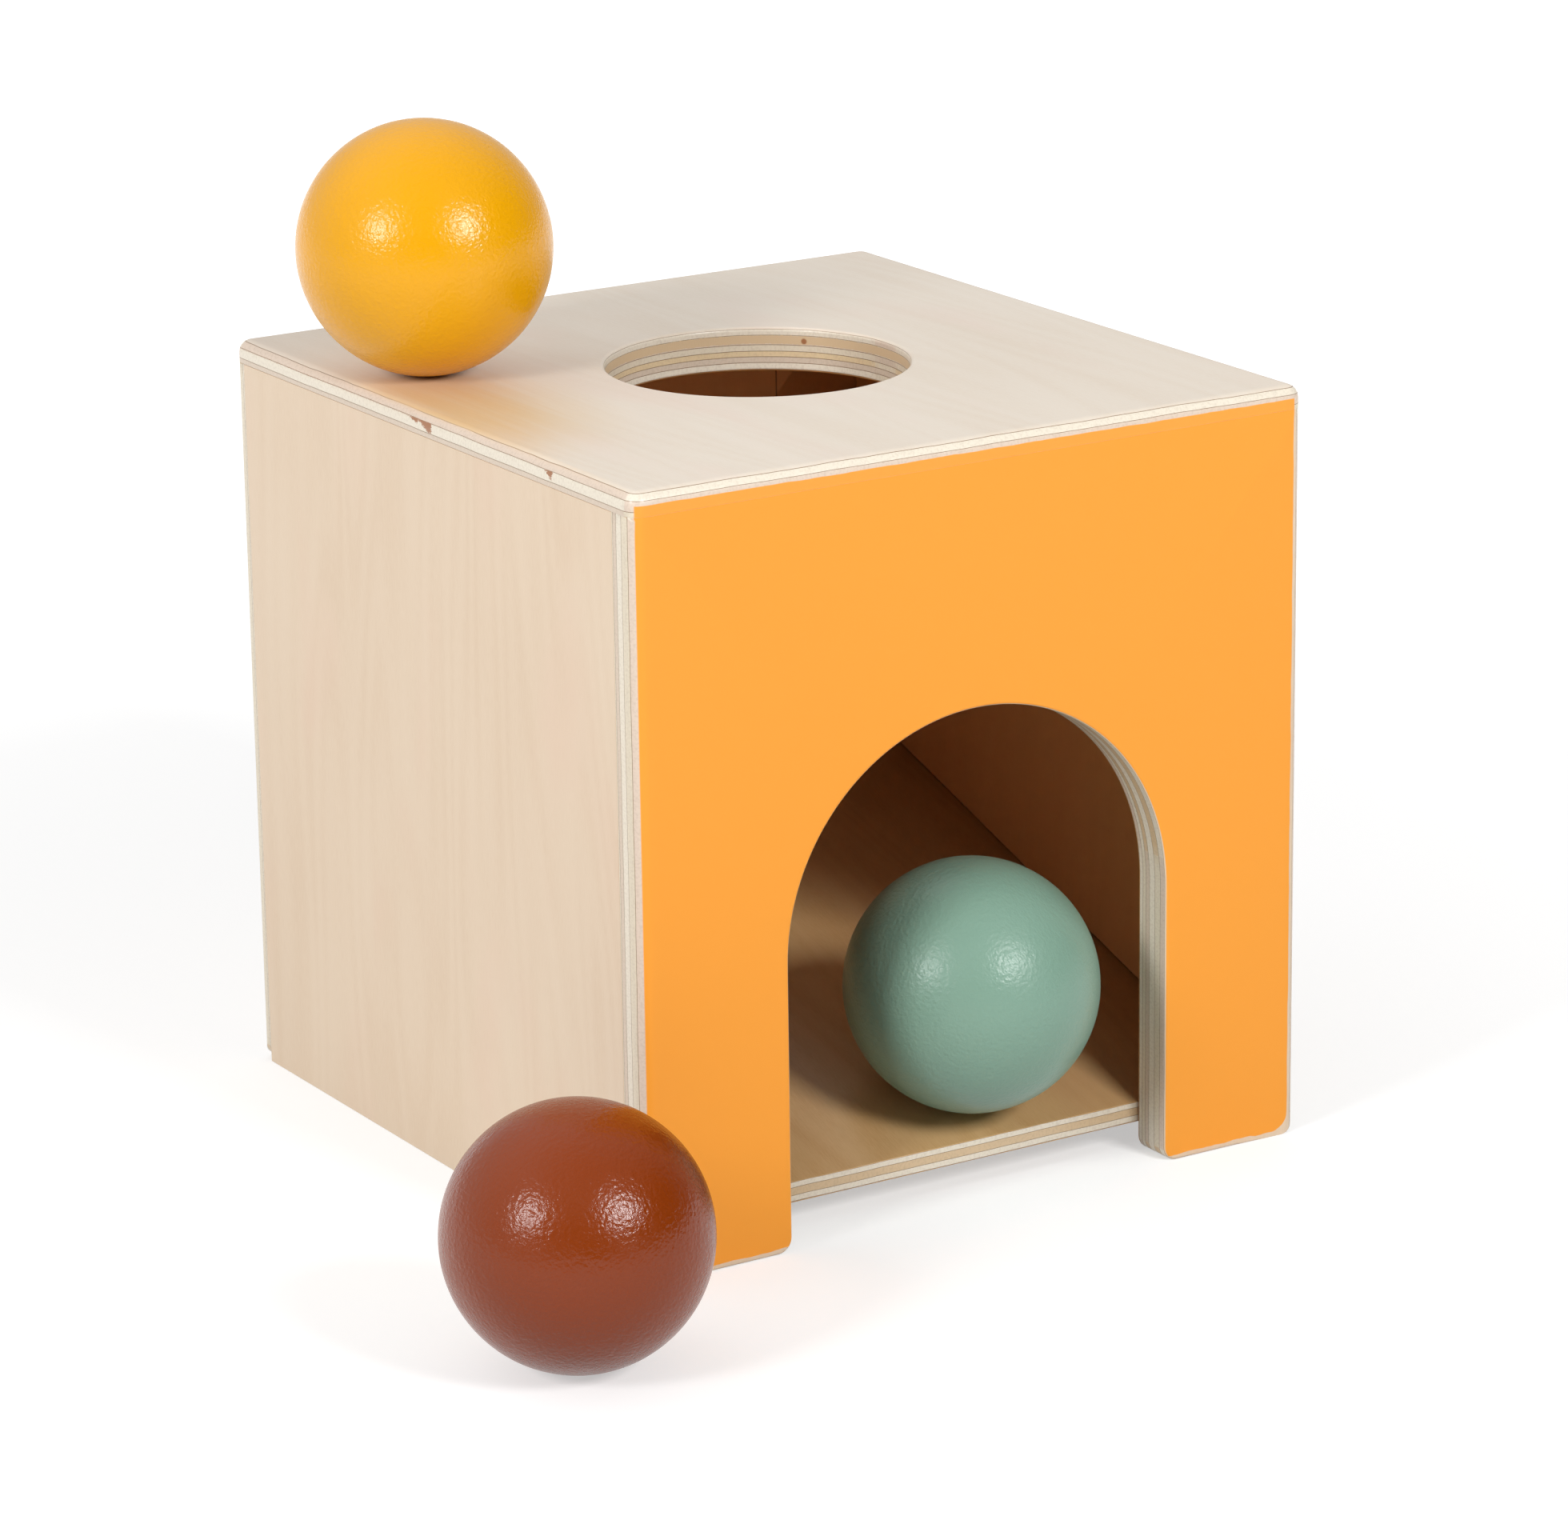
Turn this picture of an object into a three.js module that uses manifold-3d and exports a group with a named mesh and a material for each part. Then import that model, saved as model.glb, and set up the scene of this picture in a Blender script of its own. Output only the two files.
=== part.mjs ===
// Ball-drop box: a plywood box with a round hole on top, a ramp inside and an arched way out,
// and the three painted wooden balls that go with it. Millimetres, +Z up, front face towards -Y.
import * as THREE from 'three';
import { mergeVertices } from 'three/addons/utils/BufferGeometryUtils.js';
import Module from 'manifold-3d';

const wasm = await Module();
wasm.setup();

// Box, measured outside
const boxWidth = 150;
const boxDepth = 156;
const boxHeight = 152;

// Boards
const boardThickness = 9; // top, front and back
const sideThickness = 8;
const rampThickness = 4;

// Rabbets: the lip is the wood that is left at the edge and covers the neighbour's end
const topLip = 4.5;
const frontLip = 7;
const backLip = 4;
const glueLine = 0.1; // between any two glued faces

// Rounds
const uprightRadius = 3; // upright corners of the box, seen from above
const topRound = 2.5; // upper edge of the top board
const footRadius = 4; // outer lower corners of the front and back boards
const archFootRadius = 3; // lower ends of the arch
const holeRound = 0.8; // both rims of the hole

// Balls, and the way they take
const ballDiameter = 50;
const holeClearance = 10; // hole diameter over ball diameter
const archClearance = 36; // arch width over ball diameter
const archHeight = 100;
const rampAngle = 18; // degrees
const rampFrontHeight = 10; // top of the ramp's front edge over the table
const grooveDepth = 3; // housing of the ramp in each side
const restGap = 0.3; // green ball over the ramp

// Where the balls lie
const yellowFromLeft = 17;
const yellowFromBack = 50;
const brownSideGap = 4.5; // brown ball to the plane of the left side
const brownFrontGap = 1; // brown ball to the plane of the front
const greenArchGap = 9.5; // green ball to the arch's right side
const greenUpRamp = 15.8; // touching point, up the slope from the ramp's front edge

// Facets
const arcSteps = 8; // half the steps of a drawn arc
const roundSteps = 4;
const holeSteps = 64;
const ballSteps = 32; // round the upright axis
const ballRings = 20; // from pole to pole

// Worked out from the sizes above
const halfWidth = boxWidth / 2;
const innerHalf = halfWidth - sideThickness;
const innerFront = boardThickness;
const innerBack = boxDepth - boardThickness;
const wallHeight = boxHeight - topLip - glueLine;
const ballRadius = ballDiameter / 2;
const holeRadius = (ballDiameter + holeClearance) / 2;
const archHalf = (ballDiameter + archClearance) / 2;
const springHeight = archHeight - archHalf; // where the arch's straight sides end
const legWidth = halfWidth - archHalf;
const slope = THREE.MathUtils.degToRad(rampAngle);
const past = 5; // how far a cutter stands out of what it cuts

const plywood = new THREE.MeshStandardMaterial({ color: 0xe8d3b8, roughness: 0.65, metalness: 0 });
const orangePaint = new THREE.MeshStandardMaterial({ color: 0xfba944, roughness: 0.5, metalness: 0 });
const yellowPaint = new THREE.MeshStandardMaterial({ color: 0xf3b31c, roughness: 0.4, metalness: 0 });
const greenPaint = new THREE.MeshStandardMaterial({ color: 0x86ab9b, roughness: 0.4, metalness: 0 });
const brownPaint = new THREE.MeshStandardMaterial({ color: 0x8f4526, roughness: 0.4, metalness: 0 });

// A closed three.js geometry as a solid that can be cut and joined.
function solidOf(geometry) {
  const bare = geometry.clone();
  bare.deleteAttribute('normal');
  bare.deleteAttribute('uv');
  const merged = mergeVertices(bare);
  return new wasm.Manifold(new wasm.Mesh({
    numProp: 3,
    vertProperties: Float32Array.from(merged.attributes.position.array),
    triVerts: Uint32Array.from(merged.index.array),
  }));
}

function geometryOf(solid) {
  const mesh = solid.getMesh();
  const geometry = new THREE.BufferGeometry();
  geometry.setAttribute('position', new THREE.BufferAttribute(mesh.vertProperties, 3));
  geometry.setIndex(new THREE.BufferAttribute(mesh.triVerts, 1));
  geometry.computeVertexNormals();
  return geometry;
}

// A box between two corners.
function block(low, high) {
  const size = high.map((value, axis) => value - low[axis]);
  const centre = high.map((value, axis) => (value + low[axis]) / 2);
  return new THREE.BoxGeometry(...size).translate(...centre);
}

function prism(shape, depth) {
  return new THREE.ExtrudeGeometry(shape, { depth, bevelEnabled: false, curveSegments: arcSteps });
}

// A shape drawn in X and Z, made thick from the plane y = 0 towards +Y.
function uprightPrism(shape, depth) {
  return prism(shape, depth).rotateX(Math.PI / 2).translate(0, depth, 0);
}

// A shape drawn in Y and Z, made as wide as stated, its middle on the plane x = 0.
function crossPrism(shape, width) {
  return prism(shape, width).rotateX(Math.PI / 2).rotateZ(Math.PI / 2).translate(-width / 2, 0, 0);
}

function roundedRectangle(width, depth, radius) {
  const x = width / 2 - radius;
  const y = depth / 2 - radius;
  const shape = new THREE.Shape();
  shape.absarc(x, -y, radius, -Math.PI / 2, 0);
  shape.absarc(x, y, radius, 0, Math.PI / 2);
  shape.absarc(-x, y, radius, Math.PI / 2, Math.PI);
  shape.absarc(-x, -y, radius, Math.PI, Math.PI * 1.5);
  return shape;
}

// Front or back board from the front: square above, rounded lower corners, with or without the arch.
function boardOutline(withArch) {
  const foot = withArch ? Math.min(footRadius, legWidth / 2) : footRadius;
  const shape = new THREE.Shape();
  shape.moveTo(halfWidth, wallHeight);
  shape.lineTo(-halfWidth, wallHeight);
  shape.absarc(-halfWidth + foot, foot, foot, Math.PI, Math.PI * 1.5);
  if (withArch) {
    const heel = Math.min(archFootRadius, legWidth / 2);
    shape.absarc(-archHalf - heel, heel, heel, -Math.PI / 2, 0);
    shape.absarc(0, springHeight, archHalf, Math.PI, Math.PI / 2, true);
    shape.absarc(0, springHeight, archHalf, Math.PI / 2, 0, true);
    shape.absarc(archHalf + heel, heel, heel, Math.PI, Math.PI * 1.5);
  }
  shape.absarc(halfWidth - foot, foot, foot, -Math.PI / 2, 0);
  return shape;
}

// The same board from above: rounded outer corners, and a rabbet at each end for the side's edge.
function boardPlan(lip) {
  const round = Math.min(uprightRadius, lip);
  const tongue = innerHalf - glueLine;
  const shape = new THREE.Shape();
  shape.absarc(-halfWidth + round, round, round, Math.PI, Math.PI * 1.5);
  shape.absarc(halfWidth - round, round, round, -Math.PI / 2, 0);
  shape.lineTo(halfWidth, lip);
  shape.lineTo(tongue, lip);
  shape.lineTo(tongue, boardThickness);
  shape.lineTo(-tongue, boardThickness);
  shape.lineTo(-tongue, lip);
  shape.lineTo(-halfWidth, lip);
  return shape;
}

function wallBoard(withArch, lip) {
  const face = solidOf(uprightPrism(boardOutline(withArch), boardThickness));
  const plan = solidOf(prism(boardPlan(lip), wallHeight));
  return geometryOf(face.intersect(plan));
}

// The ramp from the side: plumb ends, sloping faces, grown all round by a margin for its housing.
function rampOutline(margin, front, back) {
  const rise = (y) => rampFrontHeight + (y - innerFront) * Math.tan(slope);
  const upper = margin / Math.cos(slope);
  const lower = (rampThickness + margin) / Math.cos(slope);
  const shape = new THREE.Shape();
  shape.moveTo(front, rise(front) - lower);
  shape.lineTo(back, rise(back) - lower);
  shape.lineTo(back, rise(back) + upper);
  shape.lineTo(front, rise(front) + upper);
  return shape;
}

function rampBoard() {
  const outline = rampOutline(0, innerFront + glueLine, innerBack - glueLine);
  return crossPrism(outline, 2 * (innerHalf + grooveDepth - glueLine));
}

// A side is a plain board with a sloping groove inside, where the ramp's edge is glued in.
// side is -1 on the left and 1 on the right.
function sideBoard(side) {
  const front = frontLip + glueLine;
  const back = boxDepth - backLip - glueLine;
  const edges = [side * innerHalf, side * halfWidth];
  const board = solidOf(block([Math.min(...edges), front, 0], [Math.max(...edges), back, wallHeight]));
  const outline = rampOutline(glueLine, front - past, back + past);
  const groove = solidOf(crossPrism(outline, 2 * (innerHalf + grooveDepth)));
  return geometryOf(board.subtract(groove));
}

// The cutter for the hole: a plain cylinder that flares in a quarter round at both rims.
function holeCutter() {
  const flare = holeRadius + holeRound;
  const rim = (z, start, end) => new THREE.EllipseCurve(
    flare, z, holeRound, holeRound, start, end, true).getPoints(roundSteps);
  const profile = [
    new THREE.Vector2(0, -past),
    new THREE.Vector2(flare, -past),
    ...rim(holeRound, Math.PI * 1.5, Math.PI),
    ...rim(boardThickness - holeRound, Math.PI, Math.PI / 2),
    new THREE.Vector2(flare, boardThickness + past),
    new THREE.Vector2(0, boardThickness + past),
  ];
  return new THREE.LatheGeometry(profile, holeSteps).rotateX(Math.PI / 2);
}

// The top: a lip with a rounded upper edge that covers the walls, and a block below that fits between them.
function topBoard() {
  const round = Math.min(topRound, topLip);
  const corner = Math.max(uprightRadius - round, glueLine);
  const blank = new THREE.ExtrudeGeometry(
    roundedRectangle(boxWidth - 2 * round, boxDepth - 2 * round, corner),
    { depth: topLip, bevelSize: round, bevelThickness: round, bevelSegments: roundSteps, curveSegments: arcSteps },
  ).translate(0, 0, boardThickness - topLip - round);
  const reach = boxWidth + boxDepth;
  const upperHalf = block([-reach, -reach, boardThickness - topLip], [reach, reach, boardThickness + past]);
  const lip = solidOf(blank).intersect(solidOf(upperHalf));
  const plugX = innerHalf - glueLine;
  const plugY = (innerBack - innerFront) / 2 - glueLine;
  const plug = block([-plugX, -plugY, 0], [plugX, plugY, boardThickness - round]);
  return geometryOf(lip.add(solidOf(plug)).subtract(solidOf(holeCutter())));
}

function ballGeometry() {
  return new THREE.SphereGeometry(ballRadius, ballSteps, ballRings).rotateX(Math.PI / 2);
}

function piece(name, geometry, material, x = 0, y = 0, z = 0) {
  const mesh = new THREE.Mesh(geometry, material);
  mesh.name = name;
  mesh.position.set(x, y, z);
  return mesh;
}

// The glued box
const box = new THREE.Group();
const backBoard = piece('back_board', wallBoard(false, backLip), plywood, 0, boxDepth, 0);
backBoard.rotation.z = Math.PI;
box.add(
  piece('top_board', topBoard(), plywood, 0, boxDepth / 2, boxHeight - boardThickness),
  piece('front_board', wallBoard(true, frontLip), orangePaint),
  backBoard,
  piece('left_side', sideBoard(-1), plywood),
  piece('right_side', sideBoard(1), plywood),
  piece('ramp_board', rampBoard(), plywood),
);

// The loose balls: one on the top, one on the ramp in the arch, one on the table
const touchDepth = innerFront + greenUpRamp * Math.cos(slope);
const touchHeight = rampFrontHeight + greenUpRamp * Math.sin(slope);
const overRamp = ballRadius + restGap;
const yellowPlace = [-halfWidth + yellowFromLeft, boxDepth - yellowFromBack, boxHeight + ballRadius];
const greenPlace = [
  archHalf - greenArchGap - ballRadius,
  touchDepth - overRamp * Math.sin(slope),
  touchHeight + overRamp * Math.cos(slope),
];
const brownPlace = [-halfWidth - brownSideGap - ballRadius, -brownFrontGap - ballRadius, ballRadius];
const balls = new THREE.Group();
balls.add(
  piece('yellow_ball', ballGeometry(), yellowPaint, ...yellowPlace),
  piece('green_ball', ballGeometry(), greenPaint, ...greenPlace),
  piece('brown_ball', ballGeometry(), brownPaint, ...brownPlace),
);

// The origin is on the table, in the middle of the box and balls together
const set = new THREE.Group();
set.add(box, balls);
const leftEnd = Math.min(-halfWidth, brownPlace[0] - ballRadius);
const frontEnd = Math.min(0, brownPlace[1] - ballRadius, greenPlace[1] - ballRadius);
set.position.set(-(leftEnd + halfWidth) / 2, -(frontEnd + boxDepth) / 2, 0);

export default set;
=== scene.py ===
# Looks of a ball drop box: a glued plywood box with a painted front, and its three painted wooden balls.
import math

import bmesh
import bpy
import numpy as np
from mathutils import Matrix, Vector


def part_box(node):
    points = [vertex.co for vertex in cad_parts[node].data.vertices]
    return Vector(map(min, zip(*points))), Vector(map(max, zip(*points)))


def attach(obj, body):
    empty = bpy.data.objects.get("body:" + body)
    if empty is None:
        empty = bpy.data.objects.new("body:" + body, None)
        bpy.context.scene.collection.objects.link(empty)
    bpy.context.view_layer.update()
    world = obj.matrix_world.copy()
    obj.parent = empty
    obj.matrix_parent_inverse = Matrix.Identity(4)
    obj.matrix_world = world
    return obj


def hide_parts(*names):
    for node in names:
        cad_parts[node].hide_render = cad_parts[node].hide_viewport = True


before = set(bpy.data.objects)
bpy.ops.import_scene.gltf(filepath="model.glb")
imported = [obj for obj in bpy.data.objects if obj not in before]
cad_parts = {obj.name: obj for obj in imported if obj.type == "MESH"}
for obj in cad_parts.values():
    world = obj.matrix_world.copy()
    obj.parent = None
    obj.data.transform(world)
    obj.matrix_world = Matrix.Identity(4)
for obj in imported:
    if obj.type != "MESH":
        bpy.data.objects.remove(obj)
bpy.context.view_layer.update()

MM = 0.001  # a millimetre in metres
scene = bpy.context.scene


# Sizes in millimetres

def corners(node):
    """Lowest and highest corner of a CAD node, in millimetres."""
    low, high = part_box(node)
    return np.array(low) / MM, np.array(high) / MM


front_low, front_high = corners("front_board")
back_high = corners("back_board")[1]
left_low, left_high = corners("left_side")
right_low, right_high = corners("right_side")
top_low, top_high = corners("top_board")
ramp_low, ramp_high = corners("ramp_board")

GLUE_LINE = 0.1
BOARD = front_high[1] - front_low[1]  # thickness of the top, front and back
SIDE = left_high[0] - left_low[0]  # thickness of the sides
RAMP = 4.0  # thickness of the ramp
MIDDLE_X = (front_low[0] + front_high[0]) / 2
MIDDLE_Y = (top_low[1] + top_high[1]) / 2
HALF_WIDTH = (front_high[0] - front_low[0]) / 2
HALF_DEPTH = (top_high[1] - top_low[1]) / 2
LEFT_X = MIDDLE_X - HALF_WIDTH
RIGHT_X = MIDDLE_X + HALF_WIDTH
FRONT_Y = front_low[1]
BACK_Y = back_high[1]
TOP_Z = top_high[2]
WALL_Z = front_high[2]
FRONT_LIP = left_low[1] - FRONT_Y - GLUE_LINE
BACK_LIP = BACK_Y - left_high[1] - GLUE_LINE
TOP_LIP = TOP_Z - WALL_Z - GLUE_LINE
TONGUE = HALF_WIDTH - SIDE - GLUE_LINE  # half the width between the sides
BLOCK = HALF_DEPTH - BOARD - GLUE_LINE  # half the depth between the front and back

HOLE_RADIUS = 30.0
HOLE_ROUND = 0.8
ARCH_HALF = 43.0
ARCH_SPRING = 57.0  # height at which the arch's straight sides end
LEG_MIDDLE = (HALF_WIDTH + ARCH_HALF) / 2
UPRIGHT_RADIUS = 3.0  # upright corners of the box
TOP_ROUND = 2.5  # upper edge of the top
FOOT_RADIUS = 4.0  # outer lower corners of the front and back
HEEL_RADIUS = 3.0  # lower ends of the arch
ARRIS = 0.6  # sanded edge
SEAM_ARRIS = 0.12  # edge beside a glued seam
PAINTED_ARRIS = 0.04  # edge beside a seam that paint fills
RAMP_SLOPE = math.radians(18)
GROOVE = 3.0  # housing of the ramp in each side

# Fineness
ARC_STEPS = 5  # in an eased edge
CORNER_STEPS = 8  # in a quarter of an outline
SIDE_POINTS = 28  # up a wall's side, from the spring of the arch
HEAD_POINTS = 26  # along a wall's top edge, to the middle
TOP_STEPS = 48  # along each straight edge of the top
BALL_STEPS = 240  # round a ball
HOLD = 0.06  # how far beside an arc the flat begins
STEP = HOLD / 10  # over which an edge draws in behind its lip
FAN = UPRIGHT_RADIUS + 4 * HOLD  # how far the fan reaches beside a wall's square corner
RING_INSETS = UPRIGHT_RADIUS * np.array([1.02, 0.8, 0.6, 0.4, 0.25])  # face points over a rounded corner
WALL_BAND = 4 * UPRIGHT_RADIUS  # nominal widths of sections, wide enough to hold both of their edges
TOP_BAND = 6 * BOARD
UNDERSIDE_INSET = 1.2 * BOARD  # a point of the top's underside, just inside its block
WELD = 2e-6  # metres


# Shapes as grids of points

def unit(vectors):
    """Vectors divided by their lengths."""
    return vectors / np.linalg.norm(vectors, axis=-1, keepdims=True)


def eased(polygon, radii):
    """Blocks of section points, one for each corner of a polygon, with the corner turned into a quarter arc.
    With a and b the unit directions to the last and the next corner, the arc is
    corner + r (a + b) - r (b cos t + a sin t), for t over a quarter turn.
    A point just beyond each end of the arc keeps the flat beside it flat."""
    corner = polygon[..., None, :]
    a = unit(np.roll(polygon, 1, axis=-2) - polygon)[..., None, :]
    b = unit(np.roll(polygon, -1, axis=-2) - polygon)[..., None, :]
    radius = np.asarray(radii, float)[:, None, None]
    t = np.linspace(0, np.pi / 2, ARC_STEPS + 1)[:, None]
    arc = corner + radius * (a + b - np.cos(t) * b - np.sin(t) * a)
    start = corner + (radius + HOLD) * a
    end = corner + (radius + HOLD) * b
    return np.concatenate([start, arc, end], axis=-2)


def eased_board(width, radii):
    """The four eased corners of a board's section, as width and depth: the inner and outer one at its outer
    face, then the outer and inner one at its other face."""
    return eased(np.array([(0, 0), (width, 0), (width, BOARD), (0, BOARD)], float), radii)


def lip_step(width, lip):
    """Points of the outer edge at the lower end of a lip, below which the edge draws in."""
    return np.array([(width, lip - HOLD), (width, lip), (width, lip + STEP)])


def band(inner, outer, section, width):
    """A board between two outlines with matching points, each given as points and directions into the wood.
    A section point s from the inner edge lies s into the wood from the inner outline, or width - s into it
    from the outer one if that edge is nearer. The result's third number is the depth below the board's outer
    face."""
    s, depth = section.T
    by_outer = (s > width / 2)[None, :, None]
    inset = np.where(s > width / 2, width - s, s)[None, :, None]
    edge = np.where(by_outer, outer[0][:, None], inner[0][:, None])
    into = np.where(by_outer, outer[1][:, None], inner[1][:, None])
    flat = edge + inset * into
    deep = np.broadcast_to(depth[None, :, None], flat.shape[:2] + (1,))
    return np.concatenate([flat, deep], axis=-1)


def mirrored(half):
    """A left half outline, drawn up to the middle, followed by its mirror image drawn down again."""
    return np.concatenate([half, half[-2::-1] * (-1, 1)])


def quarter(centre, radius, start, end):
    """Quarter circle as points, and the directions from them to its centre."""
    t = np.radians(np.linspace(start, end, CORNER_STEPS + 1))
    out = np.stack([np.cos(t), np.sin(t)], axis=-1)
    return np.array(centre) + radius * out, -out


def wall_outline(head):
    """Outside of the front or back, in x from the middle and z: leg middle, foot arc, side, square corner
    and top edge. Beside the corner the directions into the wood fan out from its diagonal, so that the inset
    outline never folds."""
    foot, foot_in = quarter((-HALF_WIDTH + FOOT_RADIUS, FOOT_RADIUS), FOOT_RADIUS, -90, -180)
    z = np.linspace(ARCH_SPRING, head - FAN, SIDE_POINTS)
    near = np.linspace(0, FAN, CORNER_STEPS + 1)[:-1]
    x = np.linspace(-HALF_WIDTH + FAN, 0, HEAD_POINTS)
    side = np.stack([np.full_like(z, -HALF_WIDTH), z], axis=-1)
    corner = np.stack([near - HALF_WIDTH, np.full_like(near, head)], axis=-1)
    upper = np.stack([x, np.full_like(x, head)], axis=-1)
    points = np.concatenate([[(-LEG_MIDDLE, 0)], foot, side, corner, upper])
    side_in = np.tile((1.0, 0.0), (len(z), 1))
    corner_in = np.stack([1 - near / FAN, -np.ones_like(near)], axis=-1)
    upper_in = np.tile((0.0, -1.0), (len(x), 1))
    into = np.concatenate([[(0, 1)], foot_in, side_in, corner_in, upper_in])
    return mirrored(points), mirrored(into)


def arch_outline(outline):
    """The arch, point for point with the wall outline: leg middle, heel arc, and after a straight side the
    half circle, where each point has the same direction from the arch's centre as its partner on the
    outline."""
    heel, heel_in = quarter((-ARCH_HALF - HEEL_RADIUS, HEEL_RADIUS), HEEL_RADIUS, -90, 0)
    above = outline[: len(outline) // 2 + 1][len(heel) + 1:]
    t = np.arctan2(above[:, 1] - ARCH_SPRING, -above[:, 0])
    out = np.stack([-np.cos(t), np.sin(t)], axis=-1)
    curve = (0, ARCH_SPRING) + ARCH_HALF * out
    points = np.concatenate([[(-LEG_MIDDLE, 0)], heel, curve])
    into = np.concatenate([[(0, 1)], heel_in, out])
    return mirrored(points), mirrored(into)


def rounded_wall(grid, lip):
    """Places a wall's grid of x, z and depth. Near the upright corners the outer face falls back by
    r - sqrt(r r - q q), q being how far a point is past the start of the round, and behind the lip the ends
    draw in to the width between the sides."""
    x, z, depth = np.moveaxis(grid, -1, 0)
    past = np.clip(np.abs(x) - (HALF_WIDTH - UPRIGHT_RADIUS), 0, UPRIGHT_RADIUS)
    depth = np.maximum(depth, UPRIGHT_RADIUS - np.sqrt(UPRIGHT_RADIUS ** 2 - past ** 2))
    x = np.where(depth > lip + STEP / 2, np.clip(x, -TONGUE, TONGUE), x)
    return x + MIDDLE_X, depth, z


def front_board():
    """The front, as a band between the arch and the outside. The section runs from the arch over the outer
    face and the edge to the inside. The paint fills the glue line over the front, so the board stands higher
    by that."""
    outline = wall_outline(WALL_Z + GLUE_LINE)
    radii = (ARRIS, PAINTED_ARRIS, SEAM_ARRIS, SEAM_ARRIS)
    inner_face, outer_face, outer_back, inner_back = eased_board(WALL_BAND, radii)
    rings = np.stack([WALL_BAND - RING_INSETS, np.zeros_like(RING_INSETS)], axis=-1)
    step = lip_step(WALL_BAND, FRONT_LIP)
    inner_step = step[::-1] * (0, 1)
    section = np.concatenate([inner_face, rings, outer_face, step, outer_back, inner_back, inner_step])
    grid = band(arch_outline(outline[0]), outline, section, WALL_BAND)
    # The outlines meet under the legs, so there the outer half of the section lies on the inner half
    ring = len(inner_face)
    outer_ring = ring + len(rings)
    grid[[0, -1], ring:outer_ring] = grid[[0, -1], ring - 1:ring]
    grid[[0, -1], outer_ring:outer_ring + ring] = grid[[0, -1], :ring][:, ::-1]
    x, depth, z = rounded_wall(grid, FRONT_LIP)
    return np.stack([x, FRONT_Y + depth, z], axis=-1)


def back_board():
    """The back, as a band between the outside and one point in its middle, because it has no opening."""
    outline = wall_outline(WALL_Z)
    outer_face, outer_inside = eased_board(WALL_BAND, np.full(4, SEAM_ARRIS))[1:3]
    rings = np.stack([WALL_BAND - RING_INSETS, np.zeros_like(RING_INSETS)], axis=-1)
    step = lip_step(WALL_BAND, BACK_LIP)
    section = np.concatenate([[(0, 0)], rings, outer_face, step, outer_inside, [(0, BOARD)]])
    middle = np.tile((0.0, WALL_Z / 2), (len(outline[0]), 1))
    grid = band((middle, np.zeros_like(middle)), outline, section, WALL_BAND)
    x, depth, z = rounded_wall(grid, BACK_LIP)
    return np.stack([x, BACK_Y - depth, z], axis=-1)


def rounded_rectangle(half, radius):
    """Closed outline as points and directions into the wood: a quarter arc at each corner, then the straight
    side after it."""
    turn = np.arange(4)[:, None] * np.pi / 2 + np.linspace(0, np.pi / 2, CORNER_STEPS + 1)
    out = np.stack([np.cos(turn), np.sin(turn)], axis=-1)
    pivot = np.sign(out.mean(axis=1, keepdims=True)) * (np.array(half) - radius)
    arc = pivot + radius * out
    share = np.linspace(0, 1, TOP_STEPS + 1)[1:-1, None]
    following = np.roll(arc[:, :1], -1, axis=0)
    side = arc[:, -1:] * (1 - share) + following * share
    side_out = np.broadcast_to(out[:, -1:], side.shape)
    points = np.concatenate([arc, side], axis=1).reshape(-1, 2)
    into = -np.concatenate([out, side_out], axis=1).reshape(-1, 2)
    return points, into


def top_board():
    """The top as a band between the hole and its outer edge, each point of the hole in line with one of the
    edge. Below the lip every point draws in to the block that fits between the walls."""
    edge, edge_in = rounded_rectangle((HALF_WIDTH, HALF_DEPTH), UPRIGHT_RADIUS)
    out = unit(edge)
    radii = (HOLE_ROUND, TOP_ROUND, 0, HOLE_ROUND)
    rim_above, outer_above, outer_below, rim_below = eased_board(TOP_BAND, radii)
    step = lip_step(TOP_BAND, TOP_LIP)
    underside = np.array([(TOP_BAND - UNDERSIDE_INSET, BOARD)])
    section = np.concatenate([rim_above, outer_above, step, outer_below, underside, rim_below])
    grid = band((HOLE_RADIUS * out, out), (edge, edge_in), section, TOP_BAND)
    x, y, depth = np.moveaxis(grid, -1, 0)
    in_block = depth > TOP_LIP + STEP / 2
    x = np.where(in_block, np.clip(x, -TONGUE, TONGUE), x)
    y = np.where(in_block, np.clip(y, -BLOCK, BLOCK), y)
    return np.stack([x + MIDDLE_X, y + MIDDLE_Y, TOP_Z - depth], axis=-1)


def ramp_height(y):
    """Height of the ramp's upper face: a straight rise from its front edge."""
    front = ramp_low[2] + RAMP / math.cos(RAMP_SLOPE)
    return front + (y - ramp_low[1]) * math.tan(RAMP_SLOPE)


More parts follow.
